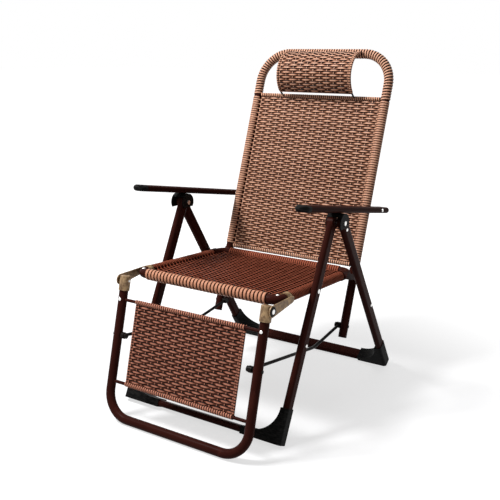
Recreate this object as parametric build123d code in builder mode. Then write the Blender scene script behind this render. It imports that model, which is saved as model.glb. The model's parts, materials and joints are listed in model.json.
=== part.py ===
from build123d import *
import os
from math import cos, radians, sin, tan

# A folding lounge chair: a woven seat, back, headrest and footrest on round steel tube, flat oval
# legs that close like scissors, and link rods that lift the footrest as the back leans.
# Millimetres. X runs across the chair, the sitter faces -Y, Z is up from the floor.
# Depths (Y) are measured from one datum under the seat and moved to mid depth by MID_DEPTH.

# Stock
TUBE_D = 28.0
TUBE_WALL = 1.5
LEG_W = 40.0
LEG_T = 20.0
LEG_WALL = 1.5
ROD_D = 10.0
WIRE_D = 6.0
STRAND = 1.6
SHEET_T = 5.0
PLATE_T = 3.0
CLAMP_WALL = 2.9
PIN_D = 8.0
RIVET_D = 14.0
RIVET_T = 2.5
SPACER_WALL = 1.5

# Clearances
RUN = 0.05
SEAT_ON = 0.2
SIDE_GAP = 0.4
WIRE_SEAT = 0.9

# Back: an inverted U that runs on below the seat
BACK_LEAN = 19.8
BACK_TUCK = 36.36
BACK_DROP = 213.96
BACK_LENGTH = 966.8
BACK_BEND = 105.0
PANEL_LOW = 241.0
HEAD_OPEN = 157.1
LINK_PIN_UP = 35.0
COLLAR_UP = 205.0
COLLAR_H = 28.0
PLUG_T = 3.0
PLUG_IN = 12.0

# Headrest: two bowed wires under a woven cover
HEAD_HALF = 141.0
HEAD_BULGE = 64.0
HEAD_T = 4.0
HEAD_SHORT = 0.88

# Seat: a rounded rectangle of tube
SEAT_FRONT_Y = -253.0
SEAT_FRONT_Z = 428.0
SEAT_FALL = 4.2
SEAT_DEPTH = 462.0
SEAT_HALF = 253.0
SEAT_BEND = 30.0
CLAMP_L = 20.0
BOSS_R = 8.0
EAR_FRONT_R = 17.0
EAR_REAR_R = 10.0
CLAMP_FRONT = 42.0
CLAMP_REAR = 58.0

# Footrest: a U of tube with two cross rods
FOOT_LEAN = 14.8
FOOT_BAR_Y = -426.0
FOOT_BAR_Z = 15.0
FOOT_LENGTH = 431.0
FOOT_STEP = 2.0
FOOT_BEND = 80.0
FOOT_ROD_LOW = 106.5
FOOT_ROD_HIGH = 360.0
FOOT_PANEL_IN = 57.0
FOOT_HINGE_DROP = 12.0
FOOT_CAP_L = 46.0
LINK_ARM = 168.0

# Legs: two U frames on one pivot under the arms
LEG_PIVOT_Y = 24.0
LEG_PIVOT_Z = 604.0
FRONT_LEAN = 26.7
FRONT_BAR_Y = -283.0
FRONT_BAR_Z = 16.5
FRONT_STEP = 28.0
REAR_LEAN = -33.05
REAR_BAR_Y = 417.6
REAR_BAR_Z = 17.5
LEG_GAP = 4.0
LEG_BEND = 60.0

# Moulded corner feet
BOOT_WALL = 2.2
BOOT_RISE = 94.0
BOOT_LIP = 2.0
BOOT_ROUND = 10.0
FRONT_BOOT_TAIL = 33.0
REAR_BOOT_TAIL = 3.0

# Arms and the saddles that they slide on
ARM_GAP = 0.7
ARM_W = 44.0
ARM_T = 20.0
ARM_RISE = 10.5
ARM_BEHIND = 62.0
ARM_AHEAD = 540.0
ARM_ROUND = 7.0
CAP_GRIP = 14.0
CAP_WALL = 2.5
SADDLE_R = 29.64
SADDLE_GAP = 0.3
CHEEK_T = 3.0
CHEEK_DROP = 16.0
SADDLE_ROOM = 4.0

# Link rods between the back's lower ends and the footrest
LINK_GAP = 1.5
LINK_BEND_Y = 10.0
LINK_BEND_Z = 193.0
LINK_BEND_R = 150.0
EYE_D = 20.0
EYE_T = 11.0
KNOB_D = 17.0
KNOB_T = 6.0

# Radii and derived places, as (depth, height) pairs
TUBE_R = TUBE_D / 2
TUBE_BORE = TUBE_R - TUBE_WALL
SLEEVE_IN = TUBE_R + SEAT_ON
SLEEVE_OUT = SLEEVE_IN + STRAND
CLAMP_IN = TUBE_R + RUN
CLAMP_OUT = TUBE_R + CLAMP_WALL
ROD_R = ROD_D / 2
ROD_SLEEVE_IN = ROD_R + SEAT_ON
ROD_SLEEVE_OUT = ROD_SLEEVE_IN + STRAND
PIN_R = PIN_D / 2
BORE_R = PIN_R + RUN
RIVET_R = RIVET_D / 2
SMALL_RIVET_R = (RIVET_R + PIN_R) / 2
SPACER_R = PIN_R + SPACER_WALL


def climb(y, z, lean, distance):
    """Point reached by going up a line that leans back from upright."""
    return (y + distance * sin(radians(lean)), z + distance * cos(radians(lean)))


# The tubes of the back, footrest and legs stand beside the seat's, so the seat's width sets theirs.
BACK_HALF = SEAT_HALF
FOOT_HALF = SEAT_HALF + FOOT_STEP
FOOT_PANEL_HALF = FOOT_HALF - FOOT_PANEL_IN
FRONT_HALF = SEAT_HALF + FRONT_STEP
REAR_HALF = FRONT_HALF + LEG_T + LEG_GAP
ARM_X = BACK_HALF + SLEEVE_OUT + ARM_GAP + ARM_W / 2
LINK_X = BACK_HALF - TUBE_R - LINK_GAP - EYE_T / 2

# The back's lower end hangs from the seat's rear edge.
SEAT_LEAN = 90 + SEAT_FALL
SEAT_REAR = climb(SEAT_FRONT_Y, SEAT_FRONT_Z, SEAT_LEAN, SEAT_DEPTH)
BACK_FOOT_Y = SEAT_REAR[0] - BACK_TUCK
BACK_FOOT_Z = SEAT_REAR[1] - BACK_DROP
PANEL_HIGH = BACK_LENGTH - HEAD_OPEN
BACK_TOP = climb(BACK_FOOT_Y, BACK_FOOT_Z, BACK_LEAN, BACK_LENGTH)
PANEL_TOP = climb(BACK_FOOT_Y, BACK_FOOT_Z, BACK_LEAN, PANEL_HIGH)

# The arm's pin sits on the back where the arm's underside clears the saddle's crown.
ARM_UP = (sin(radians(ARM_RISE)), cos(radians(ARM_RISE)))
ARM_LEVEL = SADDLE_R + SADDLE_GAP + ARM_T / 2
FOOT_LEVEL = ARM_UP[0] * (BACK_FOOT_Y - LEG_PIVOT_Y) + ARM_UP[1] * (BACK_FOOT_Z - LEG_PIVOT_Z)
ARM_PIN_UP = (ARM_LEVEL - FOOT_LEVEL) / cos(radians(BACK_LEAN - ARM_RISE))
ARM_PIN = climb(BACK_FOOT_Y, BACK_FOOT_Z, BACK_LEAN, ARM_PIN_UP)
BACK_LINK_PIN = climb(BACK_FOOT_Y, BACK_FOOT_Z, BACK_LEAN, LINK_PIN_UP)
FOOT_HINGE_UP = FOOT_LENGTH - FOOT_HINGE_DROP
FOOT_HINGE = climb(FOOT_BAR_Y, FOOT_BAR_Z, FOOT_LEAN, FOOT_HINGE_UP)
FOOT_LINK_PIN = climb(FOOT_BAR_Y, FOOT_BAR_Z, FOOT_LEAN, FOOT_HINGE_UP - LINK_ARM)

# The rods keep the footrest parallel to the back's turn, so the back's hinge completes a parallelogram.
RECLINE_Y = BACK_LINK_PIN[0] + FOOT_HINGE[0] - FOOT_LINK_PIN[0]
RECLINE_Z = BACK_LINK_PIN[1] + FOOT_HINGE[1] - FOOT_LINK_PIN[1]

FRONT_LEG = (LEG_PIVOT_Z - FRONT_BAR_Z) / cos(radians(FRONT_LEAN))
REAR_LEG = (LEG_PIVOT_Z - REAR_BAR_Z) / cos(radians(REAR_LEAN))
FRONT_TOP = climb(FRONT_BAR_Y, FRONT_BAR_Z, FRONT_LEAN, FRONT_LEG)
REAR_TOP = climb(REAR_BAR_Y, REAR_BAR_Z, REAR_LEAN, REAR_LEG)

# The seat's pin sits where the front leg's axis crosses the seat's side tube.
LEG_SLOPE = tan(radians(FRONT_LEAN))
SEAT_SLOPE = tan(radians(SEAT_FALL))
SEAT_PIN_Y = (
    FRONT_BAR_Y + LEG_SLOPE * (SEAT_FRONT_Z - FRONT_BAR_Z + SEAT_SLOPE * SEAT_FRONT_Y)
) / (1 + LEG_SLOPE * SEAT_SLOPE)
SEAT_PIN_Z = SEAT_FRONT_Z - SEAT_SLOPE * (SEAT_PIN_Y - SEAT_FRONT_Y)

# Layers across the chair, from the middle outward
SADDLE_IN = FRONT_HALF - LEG_T / 2 - SADDLE_GAP
SADDLE_OUT = REAR_HALF + LEG_T / 2 + SADDLE_GAP
SADDLE_W = SADDLE_OUT - SADDLE_IN + 2 * CHEEK_T
HINGE_PLATE_X = FOOT_HALF + CLAMP_OUT + SIDE_GAP
EAR_X = BACK_HALF + TUBE_R + SIDE_GAP
REAR_PLATE_X = EAR_X + PLATE_T + SIDE_GAP
EYE_OUT_X = LINK_X + EYE_T / 2

DEPTH_FRONT = FOOT_BAR_Y - TUBE_R
DEPTH_REAR = BACK_TOP[0] + SLEEVE_OUT
MID_DEPTH = (DEPTH_FRONT + DEPTH_REAR) / 2


def slanted(y, z, lean):
    """Plane across the chair: its X is the chair's X, and its Y climbs at the given lean."""
    return Plane(
        origin=(0, y - MID_DEPTH, z),
        x_dir=(1, 0, 0),
        z_dir=(0, -cos(radians(lean)), sin(radians(lean))),
    )


def side(x):
    """Plane of a side view at x: its X is depth and its Y is height."""
    return Plane(origin=(x, -MID_DEPTH, 0), x_dir=(0, 1, 0), z_dir=(1, 0, 0))


def across(x, point):
    """Place on a cross-wise axis through a (depth, height) point."""
    return Location((x, point[0] - MID_DEPTH, point[1]), (0, 90, 0))


def square_to(plane, x, y):
    """Plane square to the local Y of another one, at a point of it, facing down that Y."""
    return Plane(origin=plane.from_local_coords((x, y, 0)), x_dir=(1, 0, 0), z_dir=-plane.y_dir)


def save(piece, node):
    """Write one piece as a node."""
    piece.label = node
    export_step(piece, f"parts/{node}.step")


def save_pair(piece, node):
    """Write a piece made on the sitter's left side and its mirror image on the right."""
    save(piece, f"{node}_left")
    save(mirror(piece, about=Plane.YZ), f"{node}_right")


os.makedirs("parts", exist_ok=True)

BACK = slanted(BACK_FOOT_Y, BACK_FOOT_Z, BACK_LEAN)
SEAT = slanted(SEAT_FRONT_Y, SEAT_FRONT_Z, SEAT_LEAN)
FOOT = slanted(FOOT_BAR_Y, FOOT_BAR_Z, FOOT_LEAN)
LEG_PIVOT = (LEG_PIVOT_Y, LEG_PIVOT_Z)
SEAT_PIN = (SEAT_PIN_Y, SEAT_PIN_Z)
RECLINE = (RECLINE_Y, RECLINE_Z)
BOTH = (1, -1)


# Leg frames: flat oval tube bent into a U, closed and rounded at the pivot end
def leg_route(half, length):
    """Corner points of a leg frame, down one side, along the floor and up the other."""
    return ((half, length), (half, 0), (-half, 0), (-half, length))


BOOT_HALF = LEG_T / 2 + BOOT_WALL
BOOT_CURVE = BOOT_RISE - BOOT_HALF - BOOT_LIP
FRONT_LEGS = slanted(FRONT_BAR_Y, FRONT_BAR_Z, FRONT_LEAN)
REAR_LEGS = slanted(REAR_BAR_Y, REAR_BAR_Z, REAR_LEAN)
LEGS = {
    "front": (FRONT_LEGS, FRONT_HALF, FRONT_LEG, FRONT_TOP, FRONT_BOOT_TAIL),
    "rear": (REAR_LEGS, REAR_HALF, REAR_LEG, REAR_TOP, REAR_BOOT_TAIL),
}
for end, (plane, half, length, top, tail) in LEGS.items():
    with BuildPart() as leg_frame:
        with BuildLine(plane) as route:
            FilletPolyline(*leg_route(half, length), radius=LEG_BEND)
        with BuildSketch(square_to(plane, half, length)):
            SlotOverall(LEG_W, LEG_T, rotation=90)
            SlotOverall(LEG_W - 2 * LEG_WALL, LEG_T - 2 * LEG_WALL, rotation=90, mode=Mode.SUBTRACT)
        sweep(path=route.line)
        with Locations(*[across(sign * half, top) for sign in BOTH]):
            Cylinder(LEG_W / 2, LEG_T)
        with Locations(*[across(sign * half, LEG_PIVOT) for sign in BOTH]):
            Cylinder(BORE_R, LEG_W, mode=Mode.SUBTRACT)
        if end == "front":
            with Locations(*[across(sign * half, SEAT_PIN) for sign in BOTH]):
                Cylinder(BORE_R, LEG_W, mode=Mode.SUBTRACT)
    save(leg_frame.part, f"{end}_leg_frame")

    # Corner foot: a moulded gusset round the bend, square to the leg, with its low edge cut flat on the floor
    with BuildPart() as leg_core:
        with BuildLine(plane) as route:
            FilletPolyline(*leg_route(half, length), radius=LEG_BEND)
        with BuildSketch(square_to(plane, half, length)):
            SlotOverall(LEG_W + 2 * RUN, LEG_T + 2 * RUN, rotation=90)
        sweep(path=route.line)
    with BuildPart() as foot:
        with BuildSketch(plane):
            with BuildLine():
                outer = half + BOOT_HALF
                inner = half - BOOT_HALF
                reach = inner - BOOT_CURVE - tail
                Polyline(
                    (outer, -BOOT_HALF),
                    (outer, BOOT_RISE),
                    (inner, BOOT_RISE),
                    (inner, BOOT_HALF),
                    (reach, BOOT_HALF),
                    (reach, -BOOT_HALF),
                    close=True,
                )
            make_face()
            fillet(vertices().sort_by_distance((inner, BOOT_HALF, 0))[0], BOOT_CURVE)
        extrude(amount=LEG_W / 2 + BOOT_WALL, both=True)
        fillet(edges().group_by(Axis.X)[-1].filter_by(Axis(plane.origin, plane.y_dir)), BOOT_ROUND)
        split(bisect_by=Plane.XY, keep=Keep.TOP)
        add(leg_core.part, mode=Mode.SUBTRACT)
    save_pair(foot.part, f"{end}_foot")


# Saddle: a crowned cap over the leg tops, with a cheek on each side, that the arm slides on
with BuildPart() as saddle:
    with BuildSketch(side(SADDLE_IN - CHEEK_T)):
        with Locations(LEG_PIVOT):
            Circle(SADDLE_R)
        with Locations((LEG_PIVOT_Y, LEG_PIVOT_Z - CHEEK_DROP)):
            Rectangle(2 * SADDLE_R, SADDLE_R, align=(Align.CENTER, Align.MAX), mode=Mode.SUBTRACT)
    extrude(amount=SADDLE_W)
    with BuildSketch(side(SADDLE_IN)):
        with Locations(LEG_PIVOT):
            Circle(LEG_W / 2 + SADDLE_ROOM)
        with Locations((LEG_PIVOT_Y, LEG_PIVOT_Z + LEG_W / 2 + SADDLE_GAP)):
            Rectangle(2 * SADDLE_R, LEG_W + SADDLE_R, align=(Align.CENTER, Align.MAX))
    extrude(amount=SADDLE_OUT - SADDLE_IN, mode=Mode.SUBTRACT)
    with Locations(across(SADDLE_IN, LEG_PIVOT)):
        Cylinder(BORE_R, 2 * SADDLE_W, mode=Mode.SUBTRACT)
save_pair(saddle.part, "arm_saddle")

with BuildPart() as leg_pin:
    with BuildSketch(side(SADDLE_IN - CHEEK_T)):
        with Locations(LEG_PIVOT):
            Circle(PIN_R)
    extrude(amount=SADDLE_W)
    with BuildSketch(side(SADDLE_IN - CHEEK_T - RIVET_T), side(SADDLE_OUT + CHEEK_T)):
        with Locations(LEG_PIVOT):
            Circle(RIVET_R)
    extrude(amount=RIVET_T)
save_pair(leg_pin.part, "leg_pin")


# Seat: a closed ring of round tube, wrapped and woven across
SEAT_ROUTE = ((0, SEAT_DEPTH), (SEAT_HALF, SEAT_DEPTH), (SEAT_HALF, 0), (0, 0))
SEAT_MID = Plane(origin=SEAT.from_local_coords((0, SEAT_DEPTH, 0)), x_dir=SEAT.z_dir, z_dir=(1, 0, 0))

with BuildPart() as seat_frame:
    with BuildLine(SEAT) as route:
        FilletPolyline(*SEAT_ROUTE, radius=SEAT_BEND)
    with BuildSketch(SEAT_MID):
        Circle(TUBE_R)
        Circle(TUBE_BORE, mode=Mode.SUBTRACT)
    sweep(path=route.line)
    mirror(about=Plane.YZ)
    with Locations(*[across(sign * SEAT_HALF, SEAT_PIN) for sign in BOTH]):
        Cylinder(BORE_R, 2 * TUBE_D, mode=Mode.SUBTRACT)
save(seat_frame.part, "seat_frame")

with BuildPart() as seat_core:
    with BuildLine(SEAT) as route:
        FilletPolyline(*SEAT_ROUTE, radius=SEAT_BEND)
    with BuildSketch(SEAT_MID):
        Circle(SLEEVE_IN)
    sweep(path=route.line)
    mirror(about=Plane.YZ)

# Woven seat: a sheet with wrapped edges, left open at the corner clamps
WRAP_HALF = SEAT_HALF - SEAT_BEND - SEAT_ON
WRAP_FRONT = CLAMP_FRONT + CLAMP_L / 2 + SEAT_ON
WRAP_REAR = SEAT_DEPTH - CLAMP_REAR - CLAMP_L / 2 - SEAT_ON
with BuildPart() as seat_weave:
    with BuildSketch(SEAT.offset(-SHEET_T / 2)):
        with Locations((0, SEAT_DEPTH / 2)):
            Rectangle(2 * SEAT_HALF - TUBE_D, SEAT_DEPTH)
    extrude(amount=SHEET_T)
    for depth in (0, SEAT_DEPTH):
        rim = Plane(origin=SEAT.from_local_coords((0, depth, 0)), x_dir=SEAT.z_dir, z_dir=(1, 0, 0))
        with BuildSketch(rim):
            Circle(SLEEVE_OUT)
        extrude(amount=WRAP_HALF, both=True)
    for sign in BOTH:
        with BuildSketch(square_to(SEAT, sign * SEAT_HALF, WRAP_REAR)):
            Circle(SLEEVE_OUT)
        extrude(amount=WRAP_REAR - WRAP_FRONT)
    add(seat_core.part, mode=Mode.SUBTRACT)
    for depth in (CLAMP_FRONT, SEAT_DEPTH - CLAMP_REAR):
        for sign in BOTH:
            with BuildSketch(square_to(SEAT, sign * SEAT_HALF, depth + CLAMP_L / 2 + SEAT_ON)):
                Circle(CLAMP_OUT + SEAT_ON)
            extrude(amount=CLAMP_L + 2 * SEAT_ON, mode=Mode.SUBTRACT)
    with Locations(*[across(sign * SEAT_HALF, SEAT_PIN) for sign in BOTH]):
        Cylinder(BORE_R + SEAT_ON, 2 * TUBE_D, mode=Mode.SUBTRACT)
save(seat_weave.part, "seat_weave")

# Pin that hangs the seat's side tube on the front leg
with BuildPart() as seat_pin:
    with BuildSketch(side(SEAT_HALF - SLEEVE_OUT)):
        with Locations(SEAT_PIN):
            Circle(PIN_R)
    extrude(amount=FRONT_HALF + LEG_T / 2 - SEAT_HALF + SLEEVE_OUT)
    with BuildSketch(side(SEAT_HALF + SLEEVE_OUT)):
        with Locations(SEAT_PIN):
            Circle(RIVET_R)
    extrude(amount=FRONT_HALF - LEG_T / 2 - SEAT_HALF - SLEEVE_OUT)
    with BuildSketch(side(FRONT_HALF + LEG_T / 2)):
        with Locations(SEAT_PIN):
            Circle(RIVET_R)
    extrude(amount=RIVET_T / 2)
save_pair(seat_pin.part, "seat_pin")


# Hinge clamps of the seat: a band round the side tube and a flat arm out to the hinge
def seat_point(depth):
    """Side-view point on the seat tube's axis."""
    return climb(SEAT_FRONT_Y, SEAT_FRONT_Z, SEAT_LEAN, depth)


FRONT_CLAMP = seat_point(CLAMP_FRONT)
REAR_CLAMP = seat_point(SEAT_DEPTH - CLAMP_REAR)
CLAMPS = {
    "seat_front_hinge": (CLAMP_FRONT, FRONT_CLAMP, FOOT_HINGE, HINGE_PLATE_X, EAR_FRONT_R),
    "seat_rear_hinge": (SEAT_DEPTH - CLAMP_REAR, REAR_CLAMP, RECLINE, REAR_PLATE_X, EAR_REAR_R),
}
for node, (depth, clamp_point, hinge_point, plate_x, ear_r) in CLAMPS.items():
    with BuildPart() as hinge:
        with BuildSketch(square_to(SEAT, SEAT_HALF, depth + CLAMP_L / 2)):
            Circle(CLAMP_OUT)
        extrude(amount=CLAMP_L)
        with BuildSketch(side(SEAT_HALF)):
            with Locations(clamp_point):
                Circle(BOSS_R)
        extrude(amount=plate_x - SEAT_HALF)
        with BuildSketch(side(plate_x)):
            with Locations(clamp_point):
                Circle(CLAMP_L / 2)
            with Locations(hinge_point):
                Circle(ear_r)
            make_hull()
        extrude(amount=PLATE_T)
        with BuildSketch(square_to(SEAT, SEAT_HALF, depth + CLAMP_L)):
            Circle(CLAMP_IN)
        extrude(amount=2 * CLAMP_L, mode=Mode.SUBTRACT)
        with Locations(across(plate_x, hinge_point)):
            Cylinder(BORE_R, TUBE_D, mode=Mode.SUBTRACT)
    save_pair(hinge.part, node)

# Hinge pins: the front one crosses the footrest tube, the rear one joins plate and ear
HINGE_PINS = {
    "footrest_pin": (FOOT_HINGE, FOOT_HALF - CLAMP_OUT - SIDE_GAP, HINGE_PLATE_X + PLATE_T),
    "recline_pin": (RECLINE, EAR_X, REAR_PLATE_X + PLATE_T),
}
for node, (point, start_x, end_x) in HINGE_PINS.items():
    with BuildPart() as hinge_pin:
        with BuildSketch(side(start_x)):
            with Locations(point):
                Circle(PIN_R)
        extrude(amount=end_x - start_x)
        with BuildSketch(side(end_x)):
            with Locations(point):
                Circle(RIVET_R)
        extrude(amount=RIVET_T)
    save_pair(hinge_pin.part, node)

# Back: the long inverted U
BACK_ROUTE = ((BACK_HALF, 0), (BACK_HALF, BACK_LENGTH), (-BACK_HALF, BACK_LENGTH), (-BACK_HALF, 0))
UPPER_ROUTE = (
    (BACK_HALF, PANEL_HIGH + ROD_SLEEVE_OUT),
    (BACK_HALF, BACK_LENGTH),
    (-BACK_HALF, BACK_LENGTH),
    (-BACK_HALF, PANEL_HIGH + ROD_SLEEVE_OUT),
)
with BuildPart() as back_frame:
    with BuildLine(BACK) as route:
        FilletPolyline(*BACK_ROUTE, radius=BACK_BEND)
    with BuildSketch(square_to(BACK, BACK_HALF, 0)):
        Circle(TUBE_R)
        Circle(TUBE_BORE, mode=Mode.SUBTRACT)
    sweep(path=route.line)
    for height in (PANEL_LOW, PANEL_HIGH):
        rod_point = climb(BACK_FOOT_Y, BACK_FOOT_Z, BACK_LEAN, height)
        with Locations(across(0, rod_point)):
            Cylinder(ROD_R + RUN, 2 * BACK_HALF, mode=Mode.SUBTRACT)
    with Locations(*[across(sign * BACK_HALF, BACK_LINK_PIN) for sign in BOTH]):
        Cylinder(BORE_R, 2 * TUBE_D, mode=Mode.SUBTRACT)
    with Locations(*[across(sign * (BACK_HALF + TUBE_R), ARM_PIN) for sign in BOTH]):
        Cylinder(BORE_R, TUBE_D, mode=Mode.SUBTRACT)
save(back_frame.part, "back_frame")

for node, height in (("back_rod_upper", PANEL_HIGH), ("back_rod_lower", PANEL_LOW)):
    with BuildPart() as back_rod:
        with Locations(across(0, climb(BACK_FOOT_Y, BACK_FOOT_Z, BACK_LEAN, height))):
            Cylinder(ROD_R, 2 * BACK_HALF)
    save(back_rod.part, node)

# Woven back: a sheet between the tubes, wrapped round them and round the two rods
with BuildPart() as back_weave:
    with BuildSketch(BACK.offset(-SHEET_T / 2)):
        with Locations((0, (PANEL_LOW + PANEL_HIGH) / 2)):
            Rectangle(2 * BACK_HALF, PANEL_HIGH - PANEL_LOW)
    extrude(amount=SHEET_T)
    for sign in BOTH:
        with BuildSketch(square_to(BACK, sign * BACK_HALF, PANEL_HIGH)):
            Circle(SLEEVE_OUT)
        extrude(amount=PANEL_HIGH - PANEL_LOW)
    for height in (PANEL_LOW, PANEL_HIGH):
        with Locations(across(0, climb(BACK_FOOT_Y, BACK_FOOT_Z, BACK_LEAN, height))):
            Cylinder(ROD_SLEEVE_OUT, 2 * BACK_HALF - 2 * SLEEVE_OUT)
            Cylinder(ROD_SLEEVE_IN, 2 * BACK_HALF, mode=Mode.SUBTRACT)
    for sign in BOTH:
        with BuildSketch(square_to(BACK, sign * BACK_HALF, BACK_LENGTH)):
            Circle(SLEEVE_IN)
        extrude(amount=BACK_LENGTH, mode=Mode.SUBTRACT)
    with Locations(*[across(sign * (BACK_HALF + TUBE_R), ARM_PIN) for sign in BOTH]):
        Cylinder(BORE_R + SEAT_ON, TUBE_D, mode=Mode.SUBTRACT)
save(back_weave.part, "back_weave")

with BuildPart() as back_wrap:
    with BuildLine(BACK) as route:
        FilletPolyline(*UPPER_ROUTE, radius=BACK_BEND)
    with BuildSketch(square_to(BACK, BACK_HALF, PANEL_HIGH + ROD_SLEEVE_OUT)):
        Circle(SLEEVE_OUT)
        Circle(SLEEVE_IN, mode=Mode.SUBTRACT)
    sweep(path=route.line)
save(back_wrap.part, "back_wrap")

with BuildPart() as back_plug:
    with BuildSketch(square_to(BACK, BACK_HALF, PLUG_IN)):
        Circle(TUBE_BORE - RUN)
    extrude(amount=PLUG_IN)
    with BuildSketch(square_to(BACK, BACK_HALF, 0)):
        Circle(TUBE_R)
    extrude(amount=PLUG_T)
save_pair(back_plug.part, "back_plug")

# Collar of the recline hinge, clamped round the back tube, with its ear
COLLAR_MID = climb(BACK_FOOT_Y, BACK_FOOT_Z, BACK_LEAN, COLLAR_UP + COLLAR_H / 2)
with BuildPart() as back_collar:
    with BuildSketch(square_to(BACK, BACK_HALF, COLLAR_UP + COLLAR_H)):
        Circle(CLAMP_OUT)
    extrude(amount=COLLAR_H)
    with BuildSketch(side(EAR_X)):
        with Locations(COLLAR_MID):
            Circle(EAR_REAR_R)
        with Locations(RECLINE):
            Circle(EAR_REAR_R)
        make_hull()
    extrude(amount=PLATE_T)
    with BuildSketch(square_to(BACK, BACK_HALF, COLLAR_UP + 2 * COLLAR_H)):
        Circle(CLAMP_IN)
    extrude(amount=3 * COLLAR_H, mode=Mode.SUBTRACT)
    with Locations(across(EAR_X, RECLINE)):
        Cylinder(BORE_R, TUBE_D, mode=Mode.SUBTRACT)
save_pair(back_collar.part, "back_collar")

# Headrest: a bowed wire at each side, from the top tube to the upper rod, and the woven cover
NORMAL = (-cos(radians(BACK_LEAN)), sin(radians(BACK_LEAN)))
WIRE_R = WIRE_D / 2


def ahead(point, distance):
    """Side-view point moved square out of the back's face."""
    return (point[0] + distance * NORMAL[0], point[1] + distance * NORMAL[1])


WIRE_TOP = ahead(BACK_TOP, SLEEVE_OUT + WIRE_SEAT)
WIRE_LOW = ahead(PANEL_TOP, ROD_SLEEVE_OUT + WIRE_SEAT)
WIRE_MID = ahead(((WIRE_TOP[0] + WIRE_LOW[0]) / 2, (WIRE_TOP[1] + WIRE_LOW[1]) / 2), HEAD_BULGE)

with BuildPart() as headrest_wire:
    with BuildLine(side(HEAD_HALF)) as route:
        ThreePointArc(WIRE_TOP, WIRE_MID, WIRE_LOW)
    with BuildSketch(Plane(route.line @ 0, z_dir=route.line % 0)):
        Circle(WIRE_R)
    sweep(path=route.line)
save_pair(headrest_wire.part, "headrest_wire")

with BuildPart() as headrest_weave:
    with BuildLine(side(0)) as bow:
        ThreePointArc(WIRE_TOP, WIRE_MID, WIRE_LOW)
    with BuildSketch(Plane(bow.line @ 0, x_dir=(1, 0, 0), z_dir=bow.line % 0)):
        Rectangle(2 * (HEAD_HALF - WIRE_R - SEAT_ON), HEAD_T)
    sweep(path=bow.edges()[0].trim(0, HEAD_SHORT))
save(headrest_weave.part, "headrest_weave")

# Footrest
FOOT_ROUTE = ((FOOT_HALF, FOOT_LENGTH), (FOOT_HALF, 0), (-FOOT_HALF, 0), (-FOOT_HALF, FOOT_LENGTH))
FOOT_RODS = {
    "footrest_rod_upper": climb(FOOT_BAR_Y, FOOT_BAR_Z, FOOT_LEAN, FOOT_ROD_HIGH),
    "footrest_rod_lower": climb(FOOT_BAR_Y, FOOT_BAR_Z, FOOT_LEAN, FOOT_ROD_LOW),
}
with BuildPart() as footrest_frame:
    with BuildLine(FOOT) as route:
        FilletPolyline(*FOOT_ROUTE, radius=FOOT_BEND)
    with BuildSketch(square_to(FOOT, FOOT_HALF, FOOT_LENGTH)):
        Circle(TUBE_R)
        Circle(TUBE_BORE, mode=Mode.SUBTRACT)
    sweep(path=route.line)
    with Locations(*[across(0, point) for point in FOOT_RODS.values()]):
        Cylinder(ROD_R + RUN, 2 * FOOT_HALF, mode=Mode.SUBTRACT)
    for point in (FOOT_HINGE, FOOT_LINK_PIN):
        with Locations(*[across(sign * FOOT_HALF, point) for sign in BOTH]):
            Cylinder(BORE_R, 2 * TUBE_D, mode=Mode.SUBTRACT)
save(footrest_frame.part, "footrest_frame")

for node, point in FOOT_RODS.items():
    with BuildPart() as foot_rod:
        with Locations(across(0, point)):
            Cylinder(ROD_R, 2 * FOOT_HALF)
    save(foot_rod.part, node)

with BuildPart() as footrest_weave:
    with BuildSketch(FOOT.offset(-SHEET_T / 2)):
        with Locations((0, (FOOT_ROD_LOW + FOOT_ROD_HIGH) / 2)):
            Rectangle(2 * FOOT_PANEL_HALF, FOOT_ROD_HIGH - FOOT_ROD_LOW)
    extrude(amount=SHEET_T)
    for point in FOOT_RODS.values():
        with Locations(across(0, point)):
            Cylinder(ROD_SLEEVE_OUT, 2 * FOOT_PANEL_HALF)
            Cylinder(ROD_SLEEVE_IN, 2 * FOOT_HALF, mode=Mode.SUBTRACT)
save(footrest_weave.part, "footrest_weave")

# Cap over the top of each footrest tube, pivoted on the seat's hinge arm
with BuildPart() as footrest_hinge:
    with BuildSketch(square_to(FOOT, FOOT_HALF, FOOT_LENGTH + CLAMP_WALL)):
        Circle(CLAMP_OUT)
    extrude(amount=FOOT_CAP_L)
    fillet(edges().group_by(Axis.Z)[-1], CLAMP_WALL)
    with BuildSketch(square_to(FOOT, FOOT_HALF, FOOT_LENGTH)):
        Circle(CLAMP_IN)
    extrude(amount=FOOT_CAP_L, mode=Mode.SUBTRACT)
    with Locations(across(FOOT_HALF, FOOT_HINGE)):
        Cylinder(BORE_R, 2 * TUBE_D, mode=Mode.SUBTRACT)
save_pair(footrest_hinge.part, "footrest_hinge")

# Link rods, with an eye at each end, and the knobbed pins that they turn on
with BuildPart() as link_rod:
    with BuildLine(side(LINK_X)) as route:
        FilletPolyline(FOOT_LINK_PIN, (LINK_BEND_Y, LINK_BEND_Z), BACK_LINK_PIN, radius=LINK_BEND_R)
    with BuildSketch(Plane(route.line @ 0, z_dir=route.line % 0)):
        Circle(ROD_R)
    sweep(path=route.line)
    with Locations(across(LINK_X, FOOT_LINK_PIN), across(LINK_X, BACK_LINK_PIN)):
        Cylinder(EYE_D / 2, EYE_T)
    with Locations(across(LINK_X, FOOT_LINK_PIN), across(LINK_X, BACK_LINK_PIN)):
        Cylinder(BORE_R, EYE_D, mode=Mode.SUBTRACT)
save_pair(link_rod.part, "link_rod")

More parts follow.
